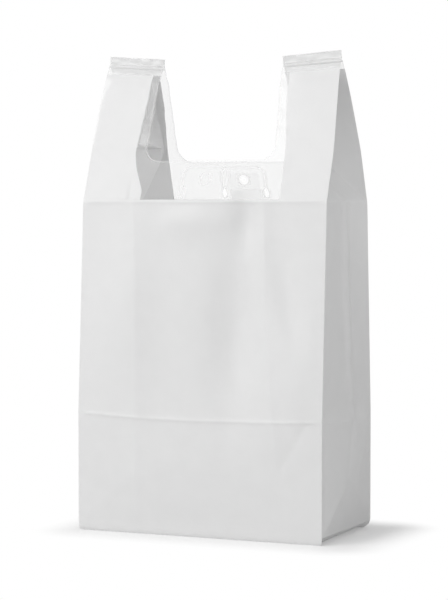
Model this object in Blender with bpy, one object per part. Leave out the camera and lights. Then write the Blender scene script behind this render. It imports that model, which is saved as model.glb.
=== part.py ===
"""A plastic carrier bag with two handles, standing open like a box on its base.

The bag is one tube of thin film. Its sides are pleated in as gussets, its foot
is sealed across, both handles are sealed shut at the top, and the gap between
the handles, the hanging tab and its hole are cut out of it.

Metres, +Z up. The origin is in the middle of the underside and the front panel
faces -Y. The film is drawn thicker than it is, so that it has a solid section.
"""

import math

import bmesh
import bpy
from mathutils import Vector

# Film and folds
FILM = 0.0005
LAYER_PITCH = 0.0008

# Body, from the floor to the crease at the mouth
BAG_WIDTH = 0.280
GUSSET_DEPTH = 0.070
BODY_HEIGHT = 0.350
MOUTH_DEPTH = 0.116
BODY_CREASE_HEIGHT = 0.126
BODY_CREASE_SAG = 0.004

# Foot, where the film turns under into the base
FOOT_HEIGHT = 0.008
FOOT_SET_BACK = 0.008
FOOT_NOTCH = 0.010
FOOT_ROUND = 0.002
FOOT_TRIANGLE_HEIGHT = 0.054
FOOT_TRIANGLE_SWELL = 0.004
BASE_SEAM_LIFT = 0.0015

# Handles, from the mouth crease up
HANDLE_HEIGHT = 0.156
HANDLE_WIDTH = 0.066
HANDLE_NARROWING = 0.0045
HANDLE_LEAN = 0.0052
HANDLE_SWAY = 0.0022
HANDLE_BOW = 0.78
RIDGE_INSET = 0.003
GABLE_HEIGHT = 0.062
SEAL_HEIGHT = 0.013
SEAL_SLOPE = 0.07
SEAL_COVER = 0.0003
SEAL_LINE_WIDTH = 0.0016
SEAL_LINE_RISE = 0.0004
SEAL_LINE_DROPS = (0.0080, 0.0112)

# Gap between the handles, hanging tab and its hole
GAP_RISE = 0.0435
GAP_CORNER = 0.017
TAB_WIDTH = 0.050
TAB_DROP = 0.0065
TAB_CORNER = 0.009
SLIT_WIDTH = 0.0008
HANG_HOLE = 0.0105
HANG_HOLE_DROP = 0.0195
NOTCH_WIDTH = 0.005
NOTCH_HEIGHT = 0.010
NOTCH_DROP = 0.0335

# Middles of the gussets: an upright fold on each side, and the left one's long pleat
SIDE_FOLD = 0.0025
LEFT_TUCK_LENGTH = 0.190
LEFT_PULL = 0.012
LEFT_PULL_RISE = 0.055
LEFT_PULL_REACH = 0.050

# Facets
PANEL_FACETS = 16
ARC_FACETS = 8
HOLE_FACETS = 24
CUT_MARGIN = 0.010

# Heights that follow from the sizes above
MOUTH = BODY_HEIGHT
FOOT = FOOT_HEIGHT
FOOT_APEX = FOOT_HEIGHT + FOOT_TRIANGLE_HEIGHT
CREASE = BODY_CREASE_HEIGHT
GABLE = MOUTH + GABLE_HEIGHT
TOP = MOUTH + HANDLE_HEIGHT
SEAL_FOOT = TOP - SEAL_HEIGHT
HANDLE_BEND = GABLE + 0.6 * (SEAL_FOOT - GABLE)
GAP_FLOOR = MOUTH + GAP_RISE

# The panels' broad hollows (inwards, below nought) and swellings: middle across,
# middle up, reach across, reach up and depth, the first four as shares of half
# the width and of the body's height
FRONT_FORMS = (
    (0.38, 0.93, 0.17, 0.12, -0.0050),
    (0.26, 0.56, 0.30, 0.26, -0.0060),
    (-0.08, 0.90, 0.20, 0.08, 0.0030),
    (-0.70, 0.76, 0.22, 0.14, 0.0040),
    (0.70, 0.56, 0.16, 0.22, -0.0030),
    (-0.25, 0.20, 0.45, 0.12, 0.0030),
)
BACK_FORMS = (
    (-0.30, 0.80, 0.25, 0.18, -0.0050),
    (0.35, 0.62, 0.30, 0.24, -0.0040),
    (-0.60, 0.45, 0.25, 0.20, 0.0030),
    (0.10, 0.22, 0.45, 0.12, 0.0030),
)
FOLD_IMPRINT = 0.0012


def blend(low, high, share):
    """A value part of the way from low to high."""
    return low + (high - low) * share


def along(points, height):
    """The value at a height on a line through (height, value) points."""
    if height <= points[0][0]:
        return points[0][1]
    for (z0, value0), (z1, value1) in zip(points, points[1:]):
        if height <= z1:
            return blend(value0, value1, (height - z0) / (z1 - z0))
    return points[-1][1]


def half_depth(height):
    """From the middle of the bag to its front or back corner fold."""
    foot = GUSSET_DEPTH - FOOT_ROUND
    closed = 1.5 * LAYER_PITCH
    if height > MOUTH:
        left_open = max(0.0, (SEAL_FOOT - height) / (SEAL_FOOT - MOUTH))
        return blend(closed, MOUTH_DEPTH / 2, left_open**HANDLE_BOW)
    return along(
        (
            (0.0, foot),
            (FOOT_ROUND, GUSSET_DEPTH),
            (CREASE, GUSSET_DEPTH),
            (MOUTH, MOUTH_DEPTH / 2),
        ),
        height,
    )


def corner_reach(height, lean):
    """From the middle of the bag to its corner folds on one side."""
    half = BAG_WIDTH / 2
    return along(
        ((0.0, half - FOOT_SET_BACK), (FOOT, half), (GABLE, half), (TOP, half - lean)),
        height,
    )


def pleat_tuck(height):
    """How far a gusset's middle stands in where both its halves are pulled straight."""
    depth = min(half_depth(height), GUSSET_DEPTH)
    straight = math.sqrt(GUSSET_DEPTH**2 - depth**2)
    return min(straight, HANDLE_WIDTH - RIDGE_INSET)


def right_tuck(height):
    """How far the right gusset's middle stands in from its corners."""
    if height > GABLE:
        return pleat_tuck(height)
    return along(
        (
            (0.0, FOOT_NOTCH),
            (FOOT, 0.0),
            (FOOT_APEX, -FOOT_TRIANGLE_SWELL),
            (CREASE, -SIDE_FOLD),
            (blend(CREASE, MOUTH, 0.8), -SIDE_FOLD),
            (MOUTH, 0.0),
            (GABLE, pleat_tuck(GABLE)),
        ),
        height,
    )


def left_tuck(height):
    """How far the left gusset's middle stands in from its corners."""
    if height > MOUTH:
        above = height - MOUTH - LEFT_PULL_RISE
        pulled = pleat_tuck(height) + LEFT_PULL * bump(above / LEFT_PULL_REACH)
        return min(pulled, HANDLE_WIDTH - RIDGE_INSET)
    start = MOUTH - LEFT_TUCK_LENGTH
    tucked = pleat_tuck(MOUTH)
    return along(
        (
            (0.0, FOOT_NOTCH),
            (FOOT, 0.0),
            (FOOT_APEX, -FOOT_TRIANGLE_SWELL),
            (CREASE, -SIDE_FOLD),
            (start, 0.0),
            (blend(start, MOUTH, 0.5), tucked * 0.3),
            (blend(start, MOUTH, 0.8), tucked * 0.6),
            (MOUTH, tucked),
        ),
        height,
    )


def triangle_crease(rise, wide, narrow):
    """The crease of a triangle folded at a gusset's end, from its corners (0) to its point (1)."""
    out = blend(wide, narrow, rise)
    return out, 1.0 - out + out * 4.0 * rise * (1.0 - rise)


def slant(height, gabled):
    """Where the gusset's slanting crease lies: share out from its middle, share of the tuck."""
    wide, narrow, plain = 0.94, 0.12, 0.5
    if height <= FOOT:
        out = blend(plain, wide, height / FOOT)
        return out, 1.0 - out
    if height <= FOOT_APEX:
        return triangle_crease((height - FOOT) / FOOT_TRIANGLE_HEIGHT, wide, narrow)
    if gabled and MOUTH <= height <= GABLE:
        return triangle_crease((height - MOUTH) / GABLE_HEIGHT, wide, narrow)
    middle = blend(CREASE, MOUTH, 0.5)
    if gabled:
        points = ((FOOT_APEX, narrow), (CREASE, plain), (middle, plain), (MOUTH, wide))
        points += ((GABLE, narrow), (SEAL_FOOT, plain))
    else:
        points = ((FOOT_APEX, narrow), (CREASE, plain))
    out = along(points, height)
    return out, 1.0 - out


def bump(distance):
    """1 at nought, falling smoothly to 0 at 1."""
    return 0.5 + 0.5 * math.cos(math.pi * min(1.0, abs(distance)))


def panel_relief(forms, share, height):
    """How far a panel stands out of its plane at a share of its half width."""
    rise = height / BODY_HEIGHT
    total = 0.0
    for across, up, wide, tall, depth in forms:
        total += depth * bump((share - across) / (2 * wide)) * bump((rise - up) / (2 * tall))
    imprint = GUSSET_DEPTH / (BAG_WIDTH / 2)
    below_mouth = bump(max(0.0, (height - MOUTH) / GABLE_HEIGHT))
    total -= FOLD_IMPRINT * bump((abs(share) - 1.0 + imprint) / 0.12) * below_mouth
    edge = bump(max(0.0, (abs(share) - 0.75) / 0.25))
    foot = along(((0.0, 0.0), (FOOT_APEX, 1.0)), height)
    return total * edge * foot


def crease_drop(share, height):
    """How far the crease across the body hangs below its ends."""
    near = along(((FOOT_APEX, 0.0), (CREASE, 1.0), (2 * CREASE - FOOT_APEX, 0.0)), height)
    return BODY_CREASE_SAG * (1.0 - share * share) * near


def stations():
    """Shares of half the panel's width, from its left edge to its right."""
    return [2.0 * i / PANEL_FACETS - 1.0 for i in range(PANEL_FACETS + 1)]


def panel_row(height, side, forms):
    """The points of one panel at one height, from left to right. Side is -1 in front and 1 behind."""
    depth = half_depth(height)
    right = corner_reach(height, HANDLE_LEAN + HANDLE_SWAY) - LAYER_PITCH
    left = -corner_reach(height, HANDLE_LEAN - HANDLE_SWAY) + LAYER_PITCH
    row = []
    for share in stations():
        x = blend(left, right, (share + 1.0) / 2.0)
        y = side * (depth + panel_relief(forms, share, height))
        row.append(Vector((x, y, height - crease_drop(share, height))))
    return row


def gusset_row(height, side):
    """The points of one gusset at one height, from its front corner to its back one. Side is 1 at the right."""
    if side > 0:
        reach = corner_reach(height, HANDLE_LEAN + HANDLE_SWAY)
        tuck = right_tuck(height)
        out, share = slant(height, gabled=True)
    else:
        reach = corner_reach(height, HANDLE_LEAN - HANDLE_SWAY)
        tuck = left_tuck(height)
        out, share = slant(height, gabled=False)
    corner = half_depth(height) - LAYER_PITCH
    ridge = LAYER_PITCH / 2
    crease = blend(ridge, corner, out)
    half = (
        (corner, 0.0),
        (blend(corner, crease, 0.5), tuck * share * 0.5),
        (crease, tuck * share),
        (blend(crease, ridge, 0.5), tuck * (1.0 + share) / 2.0),
        (ridge, tuck),
    )
    front = [Vector((side * (reach - inset), -y, height)) for y, inset in half]
    back = [Vector((point.x, -point.y, point.z)) for point in reversed(front)]
    return front + back


def levels():
    """The heights of the film's rings, from the floor up into the seals."""
    spans = (
        (FILM / 2, FOOT_ROUND, 1),
        (FOOT_ROUND, FOOT, 1),
        (FOOT, FOOT_APEX, 3),
        (FOOT_APEX, CREASE, 2),
        (CREASE, MOUTH, 7),
        (MOUTH, GABLE, 4),
        (GABLE, HANDLE_BEND, 3),
        (HANDLE_BEND, SEAL_FOOT, 2),
        (SEAL_FOOT, TOP - SEAL_HEIGHT / 2, 1),
    )
    heights = [FILM / 2]
    for low, high, steps in spans:
        heights += [blend(low, high, (i + 1) / steps) for i in range(steps)]
    return heights


def base_rows(front, right, back, left):
    """Rows of base points from front to back, each from the left gusset to the right one."""
    rows = [front]
    for from_left, from_right in zip(reversed(left), right):
        row = [from_left.lerp(from_right, (share + 1.0) / 2.0) for share in stations()]
        for point in row[1:-1]:
            point.z += BASE_SEAM_LIFT * bump(point.y / (2 * FOOT_NOTCH))
        rows.append(row)
    rows.append(back)
    return rows


def film_tube(name):
    """The film as one surface: the base, then ring upon ring up to the seals."""
    mesh = bmesh.new()
    rings = []
    for height in levels():
        front = panel_row(height, -1, FRONT_FORMS)
        back = panel_row(height, 1, BACK_FORMS)
        right = gusset_row(height, 1)
        left = list(reversed(gusset_row(height, -1)))
        loop = front + right + list(reversed(back)) + left
        rings.append([mesh.verts.new(point) for point in loop])

    for low, high in zip(rings, rings[1:]):
        for i, corner in enumerate(low):
            after = (i + 1) % len(low)
            mesh.faces.new((corner, low[after], high[after], high[i]))

    ring = rings[0]
    across = PANEL_FACETS + 1
    side = (len(ring) - 2 * across) // 2
    front = ring[:across]
    right = ring[across : across + side]
    back = list(reversed(ring[across + side : 2 * across + side]))
    left = ring[2 * across + side :]
    planned = base_rows(
        [v.co for v in front],
        [v.co for v in right],
        [v.co for v in back],
        [v.co for v in left],
    )
    rows = [front]
    for i, plan in enumerate(planned[1:-1]):
        inner = [mesh.verts.new(point) for point in plan[1:-1]]
        rows.append([left[-1 - i]] + inner + [right[i]])
    rows.append(back)
    for near, far in zip(rows, rows[1:]):
        for i in range(PANEL_FACETS):
            mesh.faces.new((near[i], far[i], far[i + 1], near[i + 1]))
    return finish_mesh(name, mesh)


def finish_mesh(name, mesh):
    """A mesh as an object in the scene, its faces turned outwards."""
    bmesh.ops.recalc_face_normals(mesh, faces=mesh.faces)
    data = bpy.data.meshes.new(name)
    mesh.to_mesh(data)
    mesh.free()
    made = bpy.data.objects.new(name, data)
    bpy.context.collection.objects.link(made)
    return made


def prism(name, outline, half_thickness):
    """A flat (x, z) outline drawn out along Y to both sides of the middle."""
    mesh = bmesh.new()
    corners = [mesh.verts.new((x, -half_thickness, z)) for x, z in outline]
    face = mesh.faces.new(corners)
    drawn = bmesh.ops.extrude_face_region(mesh, geom=[face])
    moved = [item for item in drawn["geom"] if isinstance(item, bmesh.types.BMVert)]
    bmesh.ops.translate(mesh, verts=moved, vec=(0.0, 2 * half_thickness, 0.0))
    return helper(finish_mesh(name, mesh))


def helper(made):
    """Marks an object that only shapes another one."""
    made.hide_render = True
    made.display_type = "WIRE"
    return made


def arc(x, z, radius, start, end, facets=ARC_FACETS):
    """Points on an arc, with its angles in degrees from +X towards +Z."""
    turn = [math.radians(blend(start, end, i / facets)) for i in range(facets + 1)]
    return [(x + radius * math.cos(a), z + radius * math.sin(a)) for a in turn]


def oval(x, z, width, height):
    """A closed outline with no corners."""
    steps = range(HOLE_FACETS)
    turn = [2 * math.pi * i / HOLE_FACETS for i in steps]
    return [(x + width / 2 * math.cos(a), z + height / 2 * math.sin(a)) for a in turn]


def gap_outline():
    """The gap between the handles: a flat floor, round corners and sides that close in."""
    half = BAG_WIDTH / 2 - HANDLE_WIDTH
    above = TOP + CUT_MARGIN
    top_half = half - HANDLE_NARROWING * (above - GAP_FLOOR) / (TOP - GAP_FLOOR)
    middle = GAP_FLOOR + GAP_CORNER
    outline = [(-top_half - HANDLE_SWAY, above)]
    outline += arc(-half + GAP_CORNER, middle, GAP_CORNER, 180, 270)
    outline += arc(half - GAP_CORNER, middle, GAP_CORNER, 270, 360)
    outline.append((top_half - HANDLE_SWAY, above))
    return outline


def tab_outline():
    """The slit round the tab, from one notch over the top to the other."""
    half = TAB_WIDTH / 2
    top = GAP_FLOOR - TAB_DROP
    foot = GAP_FLOOR - NOTCH_DROP
    outline = []
    for side, order in ((SLIT_WIDTH / 2, 1), (-SLIT_WIDTH / 2, -1)):
        radius = TAB_CORNER + side
        middle = top - TAB_CORNER
        edge = [(half + side, foot)]
        edge += arc(half - TAB_CORNER, middle, radius, 0, 90)
        edge += arc(-half + TAB_CORNER, middle, radius, 90, 180)
        edge.append((-half - side, foot))
        outline += edge[::order]
    return outline


def seal_bar(name, side, lean):
    """The flat sealed end of one handle, with its raised seal lines, sloping down to the gap."""
    inner = BAG_WIDTH / 2 - HANDLE_WIDTH - HANDLE_NARROWING - CUT_MARGIN / 2
    half = 1.5 * LAYER_PITCH + FILM / 2 + SEAL_COVER
    face = [(half, SEAL_FOOT)]
    for drop in reversed(SEAL_LINE_DROPS):
        line = SEAL_LINE_WIDTH / 2
        face += [
            (half, TOP - drop - line),
            (half + SEAL_LINE_RISE, TOP - drop - line / 2),
            (half + SEAL_LINE_RISE, TOP - drop + line / 2),
            (half, TOP - drop + line),
        ]
    face.append((half, TOP))
    section = face + [(-y, z) for y, z in reversed(face)]
    mesh = bmesh.new()
    ends = []
    for along_bar in (0.0, 1.0):
        end = []
        for y, z in section:
            reach = corner_reach(z, lean) + FILM / 2 + SEAL_COVER
            x = blend(inner, reach, along_bar)
            slope = SEAL_SLOPE * (x - inner - HANDLE_WIDTH / 2) * (z - SEAL_FOOT) / SEAL_HEIGHT
            end.append(mesh.verts.new((side * x, y, z + slope)))
        ends.append(end)
    for i, corner in enumerate(ends[0]):
        after = (i + 1) % len(section)
        mesh.faces.new((corner, ends[0][after], ends[1][after], ends[1][i]))
    mesh.faces.new(ends[0])
    mesh.faces.new(ends[1])
    return helper(finish_mesh(name, mesh))


def combine(target, other, operation):
    """Adds a Boolean of another object to the target."""
    modifier = target.modifiers.new(other.name, "BOOLEAN")
    modifier.operation = operation
    modifier.solver = "EXACT"
    modifier.object = other


def film_material():
    """Thin white polythene: milky, smooth and slightly shiny."""
    material = bpy.data.materials.new("white_film")
    material.use_nodes = True
    shader = material.node_tree.nodes["Principled BSDF"]
    shader.inputs["Base Color"].default_value = (0.78, 0.79, 0.80, 1.0)
    shader.inputs["Roughness"].default_value = 0.42
    shader.inputs["Metallic"].default_value = 0.0
    return material


def main():
    """Clears the scene and models the bag."""
    for old in list(bpy.data.objects):
        bpy.data.objects.remove(old)

    bag = film_tube("carrier_bag")
    bag.data.materials.append(film_material())
    wall = bag.modifiers.new("film_wall", "SOLIDIFY")
    wall.thickness = FILM
    wall.offset = 0.0
    wall.use_even_offset = True
    wall.use_rim = True

    combine(bag, seal_bar("right_seal", 1, HANDLE_LEAN + HANDLE_SWAY), "UNION")
    combine(bag, seal_bar("left_seal", -1, HANDLE_LEAN - HANDLE_SWAY), "UNION")

    reach = GUSSET_DEPTH + CUT_MARGIN
    notch_height = GAP_FLOOR - NOTCH_DROP
    cuts = {
        "handle_gap": gap_outline(),
        "hang_hole": oval(0.0, GAP_FLOOR - HANG_HOLE_DROP, HANG_HOLE, HANG_HOLE),
        "tab_slit": tab_outline(),
        "right_notch": oval(TAB_WIDTH / 2, notch_height, NOTCH_WIDTH, NOTCH_HEIGHT),
        "left_notch": oval(-TAB_WIDTH / 2, notch_height, NOTCH_WIDTH, NOTCH_HEIGHT),
    }
    for name, outline in cuts.items():
        combine(bag, prism(name, outline, reach), "DIFFERENCE")


main()
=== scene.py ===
"""Dresses a plastic carrier bag as the thin white film that it is.

The bag is made the way a real one is. A tube of blown polythene film is laid out flat,
the gap between the handles, the hanging tab, its hole and its notches are die-cut out
of it, and it is then folded up: its sides pleated in as gussets, its foot turned under
into a base, and both handles closed in the seals at their tops.

Metres, +Z up, with the origin in the middle of the underside and the front panel facing
-Y. Names that end in _mm are in millimetres, and names that end in _px are in pixels of
a picture 448 wide and 600 high.
"""

import logging
import math
from dataclasses import dataclass, field
from enum import Enum

import bmesh
import bpy
import numpy as np
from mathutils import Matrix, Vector


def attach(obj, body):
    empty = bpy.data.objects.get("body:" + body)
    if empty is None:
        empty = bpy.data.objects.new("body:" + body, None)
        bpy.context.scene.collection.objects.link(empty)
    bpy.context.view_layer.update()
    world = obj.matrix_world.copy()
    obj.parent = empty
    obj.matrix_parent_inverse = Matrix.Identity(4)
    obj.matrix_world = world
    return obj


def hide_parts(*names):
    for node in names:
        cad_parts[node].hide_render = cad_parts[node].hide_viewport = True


LOG = logging.getLogger("carrier_bag")
MM = 0.001
TINY = 1e-6
# A turn, in radians, that can be made again and again without coming round
GOLDEN_ANGLE = 2.399963
# Steps to either side of a place, and how much each counts where a fold is rounded
ROUNDING = ((-1.0, 1), (-0.5, 2), (0.0, 3), (0.5, 2), (1.0, 1))
ROUNDING_TOTAL = sum(weight for _, weight in ROUNDING)

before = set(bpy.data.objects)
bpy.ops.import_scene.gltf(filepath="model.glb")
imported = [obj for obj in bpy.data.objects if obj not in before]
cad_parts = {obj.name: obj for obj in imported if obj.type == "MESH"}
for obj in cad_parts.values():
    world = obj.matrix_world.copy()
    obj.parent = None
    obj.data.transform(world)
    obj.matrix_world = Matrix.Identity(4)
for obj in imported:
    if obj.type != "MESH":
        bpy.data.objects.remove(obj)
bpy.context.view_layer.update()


def linear(hex_colour: str) -> tuple[float, float, float, float]:
    """Turns an sRGB hex colour into linear red, green, blue and a full alpha.

    Args:
        hex_colour: Six hex digits after a hash, such as "#f4f5f6".

    Returns:
        The colour as a shader socket takes it.
    """
    parts = [int(hex_colour[i : i + 2], 16) / 255.0 for i in (1, 3, 5)]
    made = [c / 12.92 if c <= 0.04045 else ((c + 0.055) / 1.055) ** 2.4 for c in parts]
    return (made[0], made[1], made[2], 1.0)


def ramp(value: np.ndarray, low: float, high: float) -> np.ndarray:
    """A smooth step from 0 at low to 1 at high."""
    share = np.clip((value - low) / (high - low), 0.0, 1.0)
    return share * share * (3.0 - 2.0 * share)


def rounded(points: tuple, at: np.ndarray, radius: float) -> np.ndarray:
    """Reads a line through points with its corners rounded off.

    Args:
        points: (place, value) pairs in rising order.
        at: The places to read.
        radius: How far each corner's rounding reaches along the line.

    Returns:
        The values at those places.
    """
    places = [p[0] for p in points]
    values = [p[1] for p in points]
    total = np.zeros_like(at)
    for step, weight in ROUNDING:
        total += weight * np.interp(at + step * radius, places, values)
    return total / ROUNDING_TOTAL


def spaced(low: float, high: float, step: float) -> list[float]:
    """Even places from low up to, but not at, high, about a step apart."""
    count = max(1, round((high - low) / step))
    return [low + (high - low) * i / count for i in range(count)]


def stepped(bands: tuple) -> list[float]:
    """Places that lie closer together in some bands than in others.

    Args:
        bands: Where each band starts and the step in it. The last only ends the one before.

    Returns:
        The places, up to but not at the last band's start.
    """
    places = []
    for (low, step), (high, _) in zip(bands, bands[1:]):
        places += spaced(low, high, step)
    return places


class Skin(Enum):
    """The two faces of the film, by which way each lies from its middle."""

    INNER = -1
    OUTER = 1


@dataclass(frozen=True)
class Swell:
    """A broad soft rise of a panel, or a hollow where its lift is below nought."""

    across: float
    up: float
    wide: float
    tall: float
    lift: float
    turn: float = 0.0

    def height(self, across: np.ndarray, up: np.ndarray) -> np.ndarray:
        """How far the film stands out at each place.

        Args:
            across: Places across the panel or side.
            up: Their heights.

        Returns:
            The heights above the plain film.
        """
        angle = math.radians(self.turn)
        a = across - self.across
        b = up - self.up
        along = (a * math.cos(angle) + b * math.sin(angle)) / self.wide
        over = (b * math.cos(angle) - a * math.sin(angle)) / self.tall
        return self.lift * np.exp(-(along**2) - over**2)


@dataclass(frozen=True)
class Crease:
    """A line pressed into the film: a sharp crest with soft flanks, or a valley."""

    points: tuple
    width: float
    lift: float

    def height(self, across: np.ndarray, up: np.ndarray) -> np.ndarray:
        """How far the film stands out at each place.

        Args:
            across: Places across the panel or side.
            up: Their heights.

        Returns:
            The heights above the plain film.
        """
        nearest = np.full_like(across, np.inf)
        for (x0, z0), (x1, z1) in zip(self.points, self.points[1:]):
            dx, dz = x1 - x0, z1 - z0
            share = ((across - x0) * dx + (up - z0) * dz) / (dx * dx + dz * dz)
            share = np.clip(share, 0.0, 1.0)
            gap = np.hypot(across - x0 - share * dx, up - z0 - share * dz)
            nearest = np.minimum(nearest, gap)
        return self.lift * np.exp(-nearest / self.width)


@dataclass(frozen=True)
class Pinch:
    """An upright fold line in a side, steep towards the front and broad behind."""

    line: tuple
    steep: float
    broad: float
    lifts: tuple

    def height(self, across: np.ndarray, up: np.ndarray) -> np.ndarray:
        """How far the film stands out at each place.

        Args:
            across: Places across the panel or side.
            up: Their heights.

        Returns:
            The heights above the plain film.
        """
        heights = [z for _, z in self.line]
        middle = np.interp(up, heights, [y for y, _ in self.line])
        crest = np.interp(up, [z for z, _ in self.lifts], [lift for _, lift in self.lifts])
        off = across - middle
        behind = np.clip(1.0 - off / self.broad, 0.0, 1.0)
        return crest * np.where(off < 0.0, np.exp(np.minimum(off, 0.0) / self.steep), behind)


@dataclass(frozen=True)
class Hip:
    """The low pyramid that a folded base corner raises in the side above it."""

    across: float
    up: float
    lift: float
    foot: float
    reach: float
    head: float

    def height(self, across: np.ndarray, up: np.ndarray) -> np.ndarray:
        """How far the film stands out at each place.

        Args:
            across: Places across the panel or side.
            up: Their heights.

        Returns:
            The heights above the plain film.
        """
        front = (across + self.reach) / (self.across + self.reach)
        back = (self.reach - across) / (self.reach - self.across)
        below = (up - self.foot) / (self.up - self.foot)
        above = (self.head - up) / (self.head - self.up)
        faces = np.minimum(np.minimum(front, back), np.minimum(below, above))
        return self.lift * np.clip(faces, 0.0, 1.0)


@dataclass(frozen=True)
class Crumple:
    """Flat-sided crumples, as a stiff thin film makes: folded waves that run several ways."""

    lift: float
    pitch: float
    seed: float
    waves: int = 4
    first_turn: float = 0.9
    finer: float = 0.37
    offset: float = 1.3
    highest: float = 2.2

    def height(self, across: np.ndarray, up: np.ndarray) -> np.ndarray:
        """How far the film stands off its plain place, to either side.

        Args:
            across: Places across the panel or side.
            up: Their heights.

        Returns:
            The heights above the plain film.
        """
        total = np.zeros_like(across)
        for i in range(self.waves):
            angle = self.seed + self.first_turn + GOLDEN_ANGLE * i
            scale = 1.0 + self.finer * i
            along = (across * math.cos(angle) + up * math.sin(angle)) * scale / self.pitch
            wave = along + self.seed * (i + self.offset)
            total += (4.0 * np.abs(wave - np.floor(wave + 0.5)) - 1.0) / scale
        return self.lift * (total / self.highest)


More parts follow.
